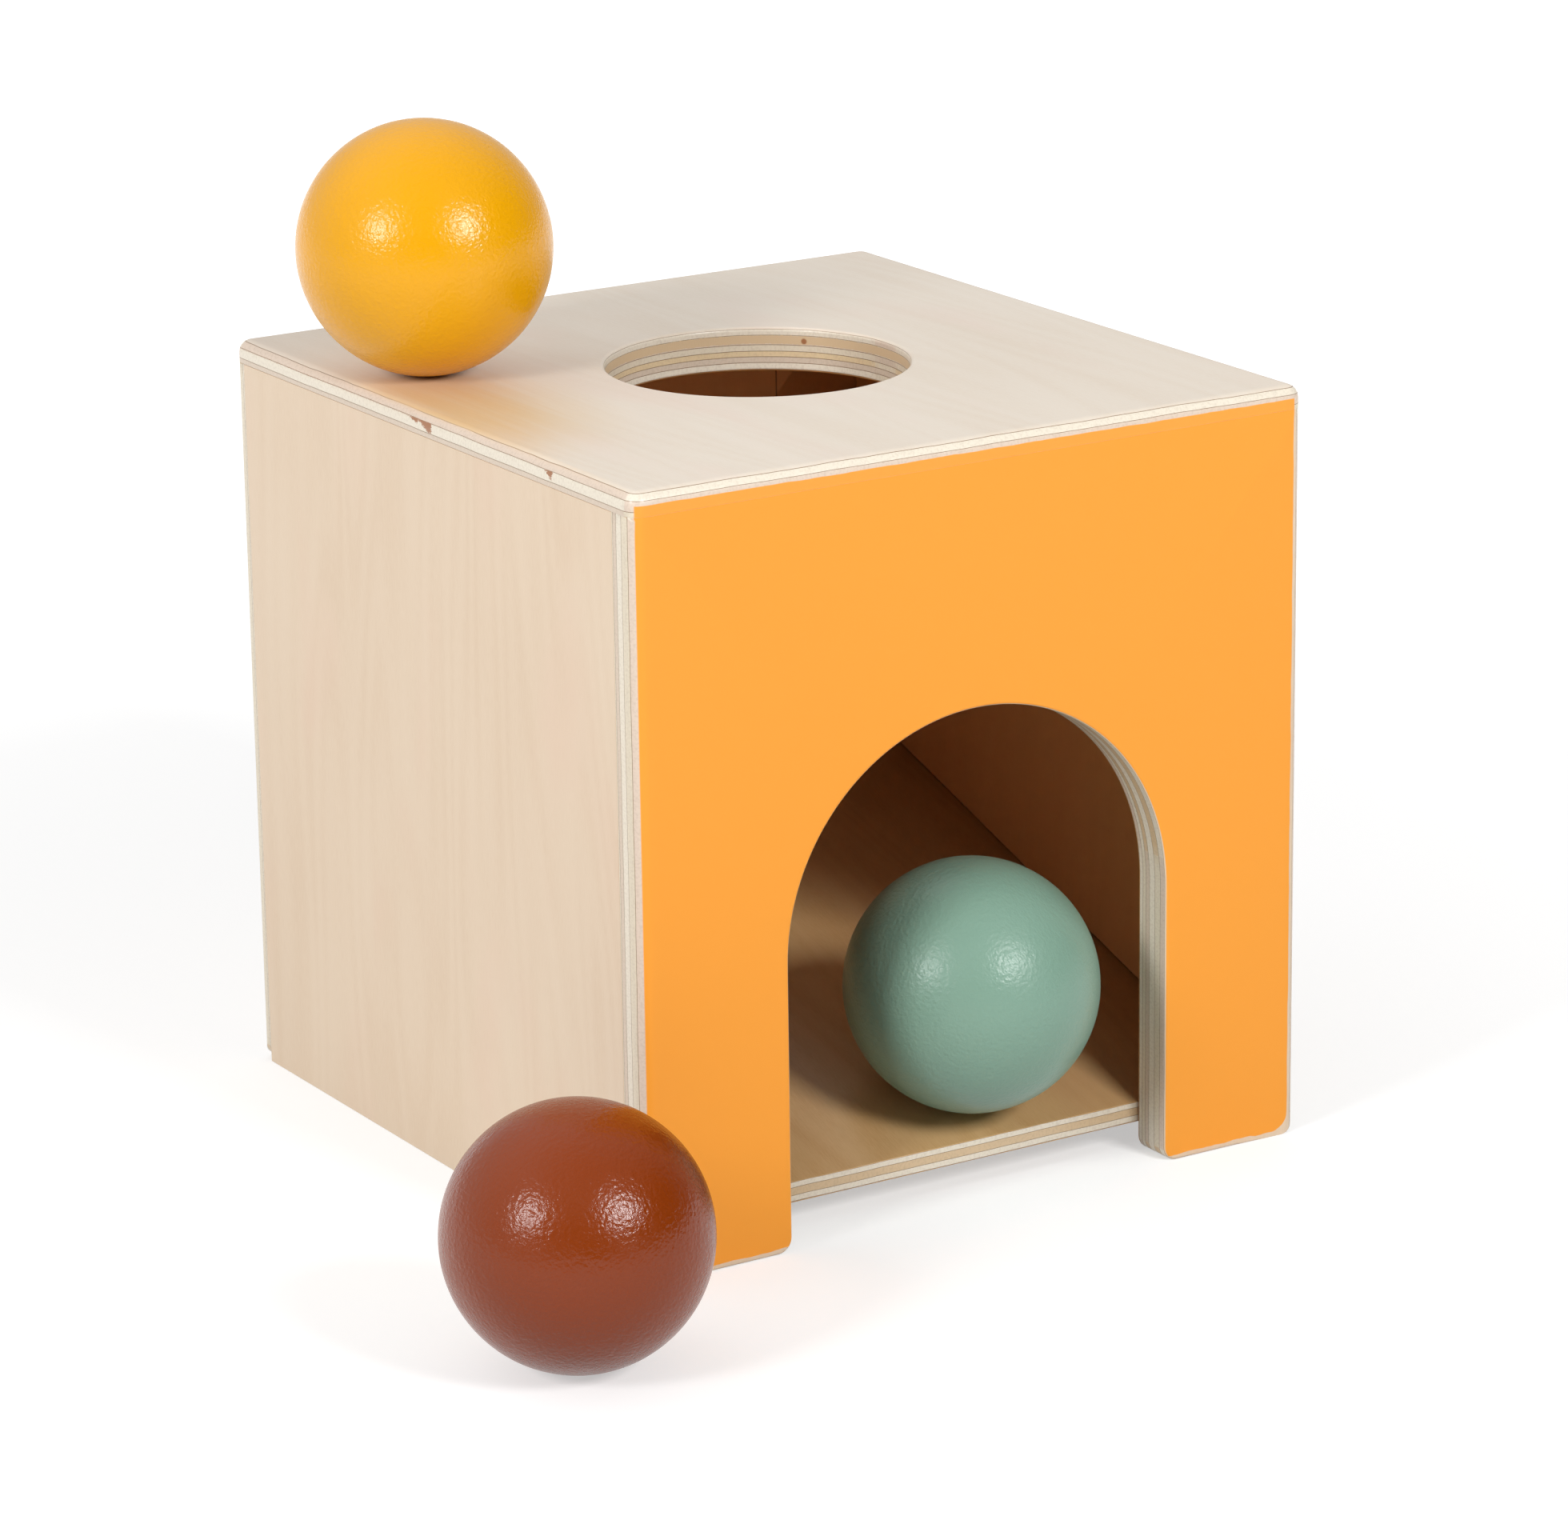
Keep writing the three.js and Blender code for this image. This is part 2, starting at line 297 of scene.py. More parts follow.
def side_board(low, high, inner):
    """A side: its section in x and z carried from front to back, with the groove's corners following the
    ramp. inner is the sign of x towards the inside. At both ends the section shrinks by r (1 - sin t) while
    it moves r (1 - cos t), which eases the upright edges."""
    t = np.linspace(0, np.pi / 2, ARC_STEPS + 1)
    move = SEAM_ARRIS * (1 - np.cos(t))
    shrink = SEAM_ARRIS * (1 - np.sin(t))
    last = SEAM_ARRIS + HOLD
    y = np.concatenate([low[1] + move, [low[1] + last, high[1] - last], high[1] - move[::-1]])
    shrink = np.concatenate([shrink, [0, 0], shrink[::-1]])[:, None]
    outer, face = (low[0], high[0]) if inner > 0 else (high[0], low[0])
    housed = face - inner * GROOVE
    above = ramp_height(y) + GLUE_LINE / math.cos(RAMP_SLOPE)
    below = ramp_height(y) - (RAMP + GLUE_LINE) / math.cos(RAMP_SLOPE)
    floor, head = 0 * y, 0 * y + high[2]
    x = np.array([outer, face, face, housed, housed, face, face, outer])
    z = np.stack([floor, floor, below, below, above, above, head, head], axis=-1)
    polygon = np.stack([np.broadcast_to(x, z.shape), z], axis=-1)
    section = eased(polygon, np.full(len(x), SEAM_ARRIS)).reshape(len(y), -1, 2)
    across = np.clip(section[..., 0], low[0] + shrink, high[0] - shrink)
    up = np.clip(section[..., 1], low[2] + shrink, high[2] - shrink)
    return np.stack([across, np.broadcast_to(y[:, None], up.shape), up], axis=-1)


def ramp_board():
    """The ramp: a sloping section with plumb ends, carried straight across from groove to groove."""
    y = np.array([ramp_low[1], ramp_high[1], ramp_high[1], ramp_low[1]])
    lower = np.array([1, 1, 0, 0]) * RAMP / math.cos(RAMP_SLOPE)
    polygon = np.stack([y, ramp_height(y) - lower], axis=-1)
    section = eased(polygon, np.full(4, SEAM_ARRIS)).reshape(-1, 2)
    spread = np.broadcast_to(section, (2, *section.shape))
    x = np.array([ramp_low[0], ramp_high[0]])[:, None, None]
    return np.concatenate([np.broadcast_to(x, spread.shape[:2] + (1,)), spread], axis=-1)


# Unevenness of a ball that was turned, sanded and dipped by hand: number of waves, their lengths and depth
WAVE_COUNT = 18
WAVE_LENGTHS = (5.0, 14.0)
WAVE_DEPTH = 0.05


def turned_ball(node, seed):
    """A turned ball, by longitude and latitude. Its radius dips by a sum of low waves, one for each of a few
    seeded directions."""
    low, high = corners(node)
    centre = (low + high) / 2
    radius = (high - low).min() / 2
    longitude = np.linspace(0, 2 * np.pi, BALL_STEPS, endpoint=False)[:, None]
    latitude = np.linspace(-np.pi / 2, np.pi / 2, BALL_STEPS // 2 + 1)[None, :]
    out = np.stack([
        np.cos(latitude) * np.cos(longitude),
        np.cos(latitude) * np.sin(longitude),
        np.sin(latitude) + 0 * longitude,
    ], axis=-1)
    draw = np.random.default_rng(seed)
    heading = unit(draw.normal(size=(WAVE_COUNT, 3)))
    length = draw.uniform(*WAVE_LENGTHS, WAVE_COUNT)
    phase = draw.uniform(0, 2 * np.pi, WAVE_COUNT)
    waves = np.sin(radius * (out @ heading.T) * 2 * np.pi / length + phase)
    uneven = 0.5 + waves.sum(axis=-1, keepdims=True) / (2 * WAVE_COUNT)
    return centre + (radius - WAVE_DEPTH * uneven) * out


def flat_floor(half):
    """A level square on the table plane."""
    across = np.array([-half, half])
    x, y = np.meshgrid(across, across, indexing="ij")
    return np.stack([x, y, 0 * x], axis=-1)


def mesh_object(name, points, material, wrap=(False, False), caps=False):
    """An object from a grid of points in millimetres, with the grid's ends joined where wrap says so, and
    with a face on its first and last row if it has caps. Points that fall together are welded."""
    rows, columns = points.shape[:2]
    index = np.arange(rows * columns).reshape(rows, columns)
    ends = [index[0].tolist(), index[-1, ::-1].tolist()]
    if wrap[0]:
        index = np.concatenate([index, index[:1]], axis=0)
    if wrap[1]:
        index = np.concatenate([index, index[:, :1]], axis=1)
    quads = np.stack([index[:-1, :-1], index[1:, :-1], index[1:, 1:], index[:-1, 1:]], axis=-1)
    faces = quads.reshape(-1, 4).tolist() + (ends if caps else [])
    mesh = bpy.data.meshes.new(name)
    mesh.from_pydata((points.reshape(-1, 3) * MM).tolist(), [], faces)
    shape = bmesh.new()
    shape.from_mesh(mesh)
    bmesh.ops.remove_doubles(shape, verts=shape.verts, dist=WELD)
    bmesh.ops.dissolve_degenerate(shape, edges=shape.edges, dist=WELD)
    bmesh.ops.recalc_face_normals(shape, faces=shape.faces)
    shape.to_mesh(mesh)
    shape.free()
    mesh.shade_smooth()
    mesh.materials.append(material)
    made = bpy.data.objects.new(name, mesh)
    scene.collection.objects.link(made)
    return made


def fit(piece, node, body):
    """Puts a piece in the place of its CAD node."""
    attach(piece, body)
    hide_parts(node)


# Materials

def linear(code):
    """An sRGB hex colour as linear red, green, blue and alpha."""
    channels = np.array([int(code[at:at + 2], 16) for at in (1, 3, 5)]) / 255
    bright = ((channels + 0.055) / 1.055) ** 2.4
    return (*np.where(channels <= 0.04045, channels / 12.92, bright), 1.0)


def add(tree, kind, inputs=None, **settings):
    """Adds a node, sets its properties, and sets or links each of its inputs. A node given as an input is
    linked by the first output that its settings leave in use."""
    made = tree.nodes.new("ShaderNode" + kind)
    for key, value in settings.items():
        setattr(made, key, value)
    for key, value in (inputs or {}).items():
        if isinstance(value, bpy.types.Node):
            value = next(output for output in value.outputs if output.enabled)
        if isinstance(value, bpy.types.NodeSocket):
            tree.links.new(value, made.inputs[key])
        else:
            made.inputs[key].default_value = value
    return made


SMOOTH = {"interpolation_type": "SMOOTHSTEP"}
COLOURS = {"data_type": "RGBA"}


def start(name):
    """A new material with an empty node tree, and the place on its object in millimetres."""
    material = bpy.data.materials.new(name)
    material.use_nodes = True
    tree = material.node_tree
    tree.nodes.clear()
    place = add(tree, "TexCoord").outputs["Object"]
    place = add(tree, "VectorMath", {0: place, "Scale": 1 / MM}, operation="SCALE")
    return material, tree, place


def coverage(tree, masks, share=1.0):
    """A share times all masks. A mask is a value, the level at which it gives 0 and the level at which it
    gives 1."""
    for value, none, full in masks:
        mask = add(tree, "MapRange", {0: value, 1: none, 2: full}, **SMOOTH)
        share = add(tree, "Math", {0: share, 1: mask}, operation="MULTIPLY")
    return share


def surface(tree, colour, roughness, relief, height, specular):
    """A plain non-metal surface with the stated relief in millimetres."""
    bump = add(tree, "Bump", {"Height": relief, "Distance": height * MM, "Strength": 1.0})
    shader = add(tree, "BsdfPrincipled", {
        "Base Color": colour, "Roughness": roughness, "Specular IOR Level": specular, "Normal": bump,
    })
    add(tree, "OutputMaterial", {"Surface": shader})


# Birch plywood: rotary-cut veneers, sanded and sealed matt. The face shows faint arches, soft bands and fine
# pores along the grain, and a cut edge shows the plies as cream, grey and tan lines, end grain being pricked
# with pores.
FACE_DARK = "#d8c2a8"
FACE = "#e7dac9"
FACE_PALE = "#f1e9dd"
FACE_PINK = "#e9d3c4"
CREAM = "#eee4d2"
IVORY = "#e6dac4"
GREY = "#dccbb8"
ROSE = "#e3d0be"
TAN = "#dcc19c"
STRAW = "#e6cfa8"
RUST = "#c9a78c"
GLUE = "#9c8268"
GLUE_WIDTH = 0.12
GLUE_SHOWN = 0.05  # as much of the first glue line as shows beside the face
PLY_BLUR = 0.02  # softness of the line where a veneer ends
SKIN = 0.03  # depth to which a face is sure to be veneer
WOOD_ROUGHNESS = (0.3, 0.42)
WOOD_RELIEF = 0.012
WOOD_SPECULAR = 0.5

# Patterns in the wood: sizes across the grain, along it and through the board in millimetres, and detail.
# The level lines of the figure are the arches, and the waver is how far a ply leaves its level.
PATTERNS = {
    "figure": ((26, 210, 40), 1.0),
    "streaks": ((0.8, 30, 3), 3.0),
    "pores": ((0.28, 2.6, 1), 1.0),
    "bands": ((9, 130, 30), 2.0),
    "clouds": ((30, 70, 30), 1.0),
    "blush": ((22, 60, 30), 2.0),
    "waver": ((14, 14, 60), 2.0),
    "pricks": ((0.5, 0.5, 0.6), 3.0),
}
ARCH_LINES = 75.0  # radians of arches over the whole range of the figure
ARCH_WEIGHT = 0.03
TONE_BASE = 0.145
TONE_WEIGHTS = {"streaks": 0.1, "pores": 0.18, "bands": 0.15, "clouds": 0.28}
DARK_TONE = 0.4  # how far below the middle tone the darkest colour lies
PALE_TONE = 0.45
BLUSH_RANGE = (0.5, 0.75)  # part of its noise over which it comes up
BLUSH_SHOWN = 0.4
PRICKS_RANGE = (0.42, 0.7)
PRICKS_SHOWN = 0.16
ACROSS_RANGE = (0.985, 0.998)  # how squarely a facet looks across the grain where the colours change
MOST_NOISE = (0.2, 0.8)  # where nearly all of a noise lies
WAVER = 0.36

# Tints of the veneers: cream on top and tan on the walls. Inside the box the veneers are tinted with a warm
# painted shade, and the ramp with a darker painted shade on both faces.
CREAM_VENEER = "#ffffff"
TAN_VENEER = "#fcf0e2"
INSIDE_PAINTED_SHADE = "#ffcc8e"
RAMP_PAINTED_SHADE = "#e6c697"
RAMP_CONTRAST = 2.5

# Plies from the outer face in: thickness, and the colour on edges along and across the face grain
TOP_PLIES = (
    (0.4, ROSE, ROSE), (1.2, CREAM, ROSE), (2.0, ROSE, CREAM), (1.3, IVORY, GREY), (1.15, STRAW, IVORY),
    (1.2, GREY, GREY), (1.35, CREAM, IVORY), (0.4, RUST, ROSE),
)
WALL_PLIES = (
    (0.45, ROSE, ROSE), (1.5, CREAM, ROSE), (1.8, TAN, IVORY), (1.8, CREAM, CREAM), (1.2, TAN, GREY),
    (1.0, CREAM, IVORY), (1.05, ROSE, CREAM), (0.2, ROSE, ROSE),
)
SIDE_PLIES = (
    (0.5, ROSE, ROSE), (1.6, CREAM, TAN), (1.9, TAN, CREAM), (1.9, IVORY, GREY), (1.6, STRAW, CREAM),
    (0.5, ROSE, ROSE),
)
RAMP_PLIES = (
    (0.15, ROSE, ROSE), (1.05, CREAM, TAN), (1.5, TAN, CREAM), (1.15, CREAM, TAN), (0.15, ROSE, ROSE),
)


def ply_colours(tree, level, plies, column):
    """Colour through a board's thickness on a cut edge, with a dark glue line at the end of each ply."""
    total = sum(ply[0] for ply in plies)
    share = add(tree, "Math", {0: level, 1: total}, operation="DIVIDE")
    ramp = add(tree, "ValToRGB", {0: share})
    ramp.color_ramp.interpolation = "CONSTANT"
    stops = ramp.color_ramp.elements
    stops.remove(stops[1])
    stops[0].color = linear(plies[0][column])
    begin = plies[0][0]
    for ply in plies[1:]:
        stops.new((begin - GLUE_WIDTH) / total).color = linear(GLUE)
        stops.new(begin / total).color = linear(ply[column])
        begin += ply[0]
    return ramp


def veneer_colour(tree, pattern, contrast):
    """Colour of a face: a tone made of arches, streaks, pores, bands and clouds, with a blush in places."""
    lines = add(tree, "Math", {0: pattern["figure"], 1: ARCH_LINES}, operation="MULTIPLY")
    arches = add(tree, "Math", {0: lines}, operation="SINE")
    tone = add(tree, "Math", {0: arches, 1: ARCH_WEIGHT, 2: TONE_BASE}, operation="MULTIPLY_ADD")
    for name, weight in TONE_WEIGHTS.items():
        tone = add(tree, "Math", {0: pattern[name], 1: weight, 2: tone}, operation="MULTIPLY_ADD")
    ramp = add(tree, "ValToRGB", {0: tone})
    stops = ramp.color_ramp.elements
    stops[0].position = 0.5 - DARK_TONE / contrast
    stops[0].color = linear(FACE_DARK)
    stops[1].position = 0.5 + PALE_TONE / contrast
    stops[1].color = linear(FACE_PALE)
    stops.new(0.5).color = linear(FACE)
    least, most = BLUSH_RANGE
    blush = add(tree, "MapRange", {0: pattern["blush"], 1: least, 2: most, 4: BLUSH_SHOWN}, **SMOOTH)
    return add(tree, "Mix", {0: blush, 6: ramp, 7: linear(FACE_PINK)}, **COLOURS)


def edge_colour(tree, pattern, level, plies, across, inward):
    """Colour of a cut edge. Which colours its plies have depends on the way that its facets look in the
    board's plane, across the face grain or along it."""
    normal = add(tree, "NewGeometry").outputs["True Normal"]
    in_plane = tuple(1 - np.abs(inward).round())
    flat = add(tree, "VectorMath", {0: normal, 1: in_plane}, operation="MULTIPLY")
    flat = add(tree, "VectorMath", {0: flat}, operation="NORMALIZE")
    facing = add(tree, "VectorMath", {0: flat, 1: tuple(across)}, operation="DOT_PRODUCT")
    facing = add(tree, "Math", {0: facing}, operation="ABSOLUTE")
    least, most = ACROSS_RANGE
    edge = add(tree, "Mix", {
        0: add(tree, "MapRange", {0: facing, 1: least, 2: most}, **SMOOTH),
        6: ply_colours(tree, level, plies, 1),
        7: ply_colours(tree, level, plies, 2),
    }, **COLOURS)
    least, most = PRICKS_RANGE
    pricks = add(tree, "MapRange", {0: pattern["pricks"], 1: least, 2: most, 4: PRICKS_SHOWN}, **SMOOTH)
    return add(tree, "Mix", {0: pricks, 6: edge, 7: linear(GLUE)}, **COLOURS)


def plywood(tree, place, outside, inward, grain, plies, tints=(TAN_VENEER, INSIDE_PAINTED_SHADE), contrast=1.0):
    """Colour, roughness and relief of plywood. outside is a point of the outer face, inward the direction
    from it into the board, grain the direction of the face grain, tints the colours by which the outer and
    inner veneer are multiplied, the inner one being painted shade of the box's inside, and contrast how
    strong their figure is."""
    inward, grain = np.array(inward, float), np.array(grain, float)
    across = np.cross(grain, inward)
    offset = add(tree, "VectorMath", {0: place, 1: tuple(outside)}, operation="SUBTRACT")
    over, along, depth = (
        add(tree, "VectorMath", {0: offset, 1: tuple(axis)}, operation="DOT_PRODUCT")
        for axis in (across, grain, inward)
    )
    wood = add(tree, "CombineXYZ", {0: over, 1: along, 2: depth})
    pattern = {}
    for name, (size, detail) in PATTERNS.items():
        scaled = add(tree, "VectorMath", {0: wood, 1: tuple(1 / np.array(size))}, operation="MULTIPLY")
        pattern[name] = add(tree, "TexNoise", {"Vector": scaled, "Scale": 1.0, "Detail": detail})
    level = add(tree, "Math", {0: pattern["waver"], 1: WAVER, 2: depth}, operation="MULTIPLY_ADD")
    level = add(tree, "Math", {0: level, 1: WAVER / 2}, operation="SUBTRACT")

    # The edge shows between the two outer veneers, and never so near to a face that the face could be broken
    total = sum(ply[0] for ply in plies)
    first_end, last_start = plies[0][0] - GLUE_SHOWN, total - plies[-1][0]
    off_middle = add(tree, "Math", {0: depth, 1: total / 2}, operation="SUBTRACT")
    off_middle = add(tree, "Math", {0: off_middle}, operation="ABSOLUTE")
    not_inside = add(tree, "MapRange", {0: level, 1: last_start + PLY_BLUR, 2: last_start}, **SMOOTH)
    cut = coverage(tree, [
        (level, first_end - PLY_BLUR, first_end),
        (off_middle, total / 2 - SKIN, total / 2 - 2 * SKIN),
    ], not_inside)
    # The inner veneer's tint is painted shade of the box's inside
    tint = add(tree, "Mix", {0: not_inside, 6: linear(tints[1]), 7: linear(tints[0])}, **COLOURS)
    face = veneer_colour(tree, pattern, contrast)
    face = add(tree, "Mix", {0: 1.0, 6: face, 7: tint}, blend_type="MULTIPLY", **COLOURS)
    edge = edge_colour(tree, pattern, level, plies, across, inward)
    colour = add(tree, "Mix", {0: cut, 6: face, 7: edge}, **COLOURS)
    roughness = add(tree, "MapRange", {
        0: pattern["streaks"], 1: MOST_NOISE[0], 2: MOST_NOISE[1], 3: WOOD_ROUGHNESS[0], 4: WOOD_ROUGHNESS[1],
    }, **SMOOTH)
    relief = add(tree, "Math", {0: pattern["streaks"], 1: pattern["pores"]}, operation="ADD")
    return colour, roughness, relief


# Marks in the top board, and painted light on it. Its knots are in the third ply, on the left edge: wedges
# that start at the ply's upper side and grow towards the front, given by their start in y, their length, and
# the share of the ply that they reach through.
KNOT = "#a8734e"
LEFT_KNOTS = ((31.5, 4.5, 0.45), (28.3, 6.6, 1.0), (-20.8, 3.2, 0.8))
KNOT_LEVEL = TOP_Z - TOP_PLIES[0][0] - TOP_PLIES[1][0]
KNOT_PLY = TOP_PLIES[2][0]
KNOT_RAGGED = (0.6, 0.6, 0.3)  # size of the torn fibres round a knot
KNOT_WAVER = 3.0
LEVEL_WAVER = 0.5
HOLE_PLY_TAN = TAN  # the third ply where the hole cuts it
HOLE_SPECK = (MIDDLE_X + 22.9, MIDDLE_Y + 19.4, TOP_Z - 2.7)
SPECK_RADII = (0.75, 0.4)  # where it ends, and where it is full
# Painted light: a warm patch of light bounced from the yellow ball onto the top beside it, drawn with fibres
# along the grain
BOUNCE_GLOW_COLOUR = "#dfc297"
BOUNCE_GLOW_MIDDLE = (MIDDLE_X - 66, MIDDLE_Y - 3, TOP_Z)
BOUNCE_GLOW_REACH = (29, 48)  # across and along the grain
BOUNCE_GLOW_FIBRES = (2.5, 50, 3)
BOUNCE_GLOW_SHOWN = (0.644, 0.92)  # share of its colour between its fibres and on them


def top_marks_and_bounce_light(tree, place, colour):
    """The top board's colour with painted warm light bounced from the yellow ball on its face, knots in its
    left edge, and a tan third ply and a speck in its hole."""
    x, y, z = add(tree, "SeparateXYZ", {0: place}).outputs
    small = add(tree, "VectorMath", {0: place, 1: tuple(1 / np.array(KNOT_RAGGED))}, operation="MULTIPLY")
    ragged = add(tree, "TexNoise", {"Vector": small, "Scale": 1.0, "Detail": 2.0})
    depth = add(tree, "Math", {0: KNOT_LEVEL, 1: z}, operation="SUBTRACT")
    depth = add(tree, "Math", {0: ragged, 1: LEVEL_WAVER, 2: depth}, operation="MULTIPLY_ADD")
    torn = add(tree, "Math", {0: ragged, 1: KNOT_WAVER, 2: y}, operation="MULTIPLY_ADD")
    torn = add(tree, "Math", {0: torn, 1: KNOT_WAVER / 2}, operation="SUBTRACT")
    for begin, length, reach in LEFT_KNOTS:
        end = begin - length
        grown = add(tree, "MapRange", {0: torn, 1: begin, 2: end, 4: reach * KNOT_PLY}, **SMOOTH)
        left = add(tree, "Math", {0: grown, 1: depth}, operation="SUBTRACT")
        wedge = coverage(tree, [
            (x, LEFT_X + 3, LEFT_X + 2), (depth, 0.15, 0.3), (torn, end - 0.2, end + 0.2), (left, -0.4, 0.1),
        ])
        colour = add(tree, "Mix", {0: wedge, 6: colour, 7: linear(KNOT)}, **COLOURS)

    # Painted light: the yellow ball's warm bounce light on the top, as a patch with fibres along the grain
    long = add(tree, "VectorMath", {0: place, 1: tuple(1 / np.array(BOUNCE_GLOW_FIBRES))}, operation="MULTIPLY")
    fibres = add(tree, "TexNoise", {"Vector": long, "Scale": 1.0, "Detail": 2.0})
    least, most = BOUNCE_GLOW_SHOWN
    fibres = add(tree, "MapRange", {0: fibres, 1: 0.3, 2: 0.6, 3: least, 4: most}, **SMOOTH)
    off = add(tree, "VectorMath", {0: place, 1: BOUNCE_GLOW_MIDDLE}, operation="SUBTRACT")
    across, along = BOUNCE_GLOW_REACH
    off = add(tree, "VectorMath", {0: off, 1: (1 / across, 1 / along, 0)}, operation="MULTIPLY")
    off = add(tree, "VectorMath", {0: off}, operation="LENGTH")
    bounce_glow = coverage(tree, [(off, 1.0, 0.2), (z, TOP_Z - 0.45, TOP_Z - 0.3)], fibres)
    colour = add(tree, "Mix", {0: bounce_glow, 6: colour, 7: linear(BOUNCE_GLOW_COLOUR)}, **COLOURS)

    axis = add(tree, "CombineXYZ", {0: MIDDLE_X, 1: MIDDLE_Y, 2: z})
    radius = add(tree, "VectorMath", {0: place, 1: axis}, operation="DISTANCE")
    in_hole = coverage(tree, [
        (radius, HOLE_RADIUS + 2, HOLE_RADIUS + 1.5),
        (depth, 0.25, 0.35),
        (depth, KNOT_PLY + 0.05, KNOT_PLY - 0.05),
    ])
    colour = add(tree, "Mix", {0: in_hole, 6: colour, 7: linear(HOLE_PLY_TAN)}, **COLOURS)
    away = add(tree, "VectorMath", {0: place, 1: HOLE_SPECK}, operation="DISTANCE")
    outer, inner = SPECK_RADII
    speck = add(tree, "MapRange", {0: away, 1: outer, 2: inner}, **SMOOTH)
    return add(tree, "Mix", {0: speck, 6: colour, 7: linear(KNOT)}, **COLOURS)


# Orange paint: a satin water-based coat, rolled on. It is level and even, with a fine peel, and stops in a
# soft ragged line just short of the rounded edges, where the wood is left bare.
ORANGE = "#fba338"
PAINT_TOP = TOP_Z - 2.4
PAINT_FOOT = 1.1
PAINT_CORNER = 3.6  # round of the paint's lower right corner
PAINT_RIGHT = RIGHT_X - 2.4
PAINT_LEFT = LEFT_X + 0.85
PAINT_DEEPEST = FRONT_Y + 1.5  # how far the paint runs round an edge
PAINT_RAGGED = 6.0  # length of the waves in its border
FOOT_WAVER, HEAD_WAVER, RIGHT_WAVER = 1.2, 0.4, 0.5  # and their height on each side
PAINT_BLUR = 0.1  # softness of its border
PAINT_FACING = (0.72, 0.8)  # cosine of the turn from the front where the coat ends, and where it is full
PAINT_PEEL = 0.8
PAINT_ROUGHNESS = (0.42, 0.5)
PAINT_SPECULAR = 0.3


def orange_paint(tree, place, wood):
    """The painted front over a wood's colour, roughness and relief. Towards the coat's lower right corner
    its lower border rises by r - sqrt(r r - q q), q being how far a point is past the start of the round."""
    colour, roughness, relief = wood
    x, y, z = add(tree, "SeparateXYZ", {0: place}).outputs
    normal = add(tree, "NewGeometry").outputs["Normal"]
    facing = add(tree, "VectorMath", {0: normal, 1: (0, -1, 0)}, operation="DOT_PRODUCT")
    ragged = add(tree, "TexNoise", {"Vector": place, "Scale": 1 / PAINT_RAGGED, "Detail": 3.0})
    foot = add(tree, "Math", {0: ragged, 1: FOOT_WAVER, 2: z}, operation="MULTIPLY_ADD")
    head = add(tree, "Math", {0: ragged, 1: HEAD_WAVER, 2: z}, operation="MULTIPLY_ADD")
    right = add(tree, "Math", {0: ragged, 1: RIGHT_WAVER, 2: x}, operation="MULTIPLY_ADD")
    past = add(tree, "Math", {0: x, 1: PAINT_RIGHT - PAINT_CORNER}, operation="SUBTRACT")
    past = add(tree, "Clamp", {0: past, 1: 0.0, 2: PAINT_CORNER})
    square = add(tree, "Math", {0: past, 1: past}, operation="MULTIPLY")
    drop = add(tree, "Math", {0: PAINT_CORNER ** 2, 1: square}, operation="SUBTRACT")
    drop = add(tree, "Math", {0: drop}, operation="SQRT")
    rise = add(tree, "Math", {0: PAINT_CORNER, 1: drop}, operation="SUBTRACT")
    foot = add(tree, "Math", {0: foot, 1: rise}, operation="SUBTRACT")
    foot_line = PAINT_FOOT + FOOT_WAVER / 2
    head_line = PAINT_TOP + HEAD_WAVER / 2
    right_line = PAINT_RIGHT + RIGHT_WAVER / 2
    coat = coverage(tree, [
        (facing, *PAINT_FACING),
        (foot, foot_line, foot_line + 1.5 * PAINT_BLUR),
        (head, head_line + PAINT_BLUR, head_line - PAINT_BLUR),
        (right, right_line + PAINT_BLUR, right_line - PAINT_BLUR),
        (x, PAINT_LEFT, PAINT_LEFT + PAINT_BLUR),
        (y, PAINT_DEEPEST + PAINT_BLUR, PAINT_DEEPEST),
    ])
    peel = add(tree, "TexNoise", {"Vector": place, "Scale": 1 / PAINT_PEEL, "Detail": 2.0})
    painted = add(tree, "MapRange", {
        0: peel, 1: MOST_NOISE[0], 2: MOST_NOISE[1], 3: PAINT_ROUGHNESS[0], 4: PAINT_ROUGHNESS[1],
    }, **SMOOTH)
    colour = add(tree, "Mix", {0: coat, 6: colour, 7: linear(ORANGE)}, **COLOURS)
    roughness = add(tree, "Mix", {0: coat, 2: roughness, 3: painted})
    relief = add(tree, "Mix", {0: coat, 2: relief, 3: peel})
    return colour, roughness, relief


def bare_plywood(name, *cut):
    """Plywood as it is, given by what the plywood function asks for."""
    material, tree, place = start(name)
    surface(tree, *plywood(tree, place, *cut), WOOD_RELIEF, WOOD_SPECULAR)
    return material


JOINT = "#a0703f"
JOINT_X = MIDDLE_X + 46.9  # where two veneers meet on the inside of the back
JOINT_WIDTHS = (0.25, 0.1)  # half widths at which it ends, and at which it is full


def spliced_plywood(name, *cut):
    """The back: bare plywood whose inner veneer has a fine dark joint."""
    material, tree, place = start(name)
    colour, roughness, relief = plywood(tree, place, *cut)
    x, y = add(tree, "SeparateXYZ", {0: place}).outputs[:2]
    beside = add(tree, "Math", {0: x, 1: JOINT_X}, operation="SUBTRACT")
    beside = add(tree, "Math", {0: beside}, operation="ABSOLUTE")
    inside = BACK_Y - BOARD
    joint = coverage(tree, [(beside, *JOINT_WIDTHS), (y, inside + 0.5, inside + 0.4)])
    colour = add(tree, "Mix", {0: joint, 6: colour, 7: linear(JOINT)}, **COLOURS)
    surface(tree, colour, roughness, relief, WOOD_RELIEF, WOOD_SPECULAR)
    return material


